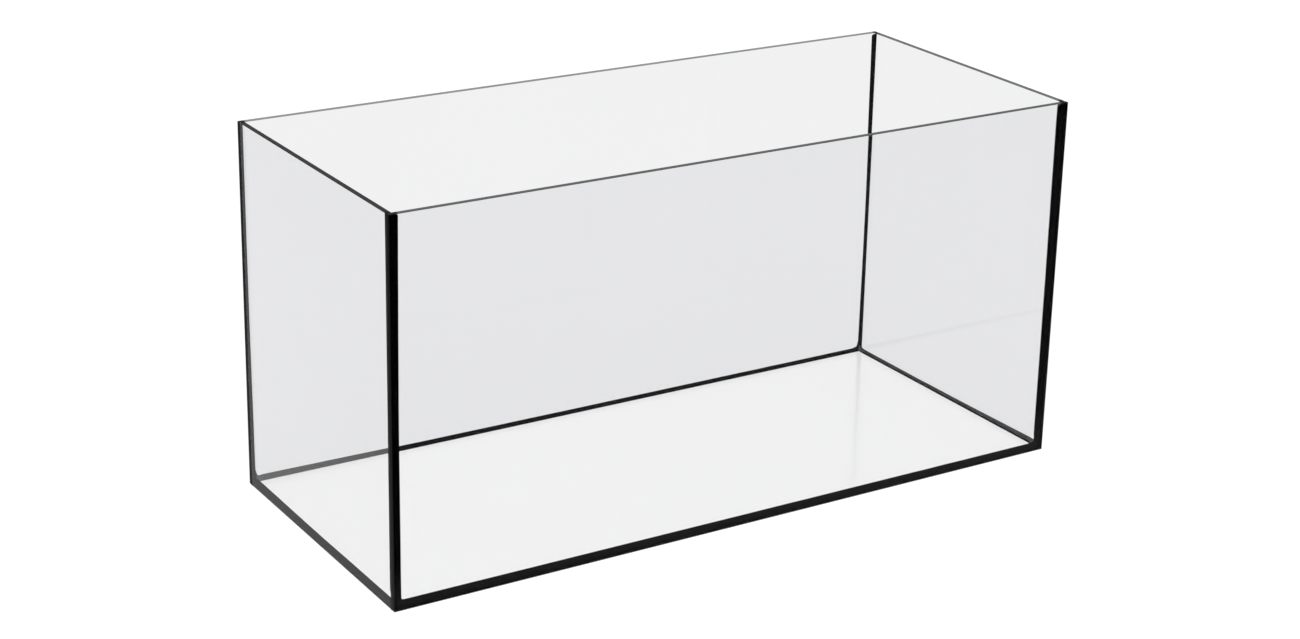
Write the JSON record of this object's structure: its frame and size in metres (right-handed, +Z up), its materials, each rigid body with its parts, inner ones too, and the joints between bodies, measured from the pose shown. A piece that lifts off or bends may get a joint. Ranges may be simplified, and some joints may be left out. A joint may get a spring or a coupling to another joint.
{
  "type": "aquarium",
  "caption": "Rimless open-topped rectangular glass aquarium, its panes edge-bonded with black silicone and sealed by tooled inner corner beads.",
  "frame": {"origin": "middle of the underside, on the surface the tank stands on", "axes": "+X along the length to the right, -Y out of the front pane, +Z up to the open rim"},
  "size_m": [0.7, 0.3, 0.35],
  "materials": {
    "glass": "clear float glass, cut edges ground to a small bevel",
    "silicone_bond": "black silicone, wiped flush with the glass",
    "silicone_bead": "black silicone, tooled smooth, low gloss"
  },
  "bodies": {
    "root": {"front_pane": "glass", "back_pane": "glass", "left_pane": "glass", "right_pane": "glass", "bottom_pane": "glass", "bond_front_left": "silicone_bond", "bond_front_right": "silicone_bond", "bond_back_left": "silicone_bond", "bond_back_right": "silicone_bond", "bond_bottom_front": "silicone_bond", "bond_bottom_back": "silicone_bond", "bond_bottom_left": "silicone_bond", "bond_bottom_right": "silicone_bond", "seal_front_left": "silicone_bead", "seal_front_right": "silicone_bead", "seal_back_left": "silicone_bead", "seal_back_right": "silicone_bead", "seal_bottom_front": "silicone_bead", "seal_bottom_back": "silicone_bead", "seal_bottom_left": "silicone_bead", "seal_bottom_right": "silicone_bead"}
  },
  "joints": []
}
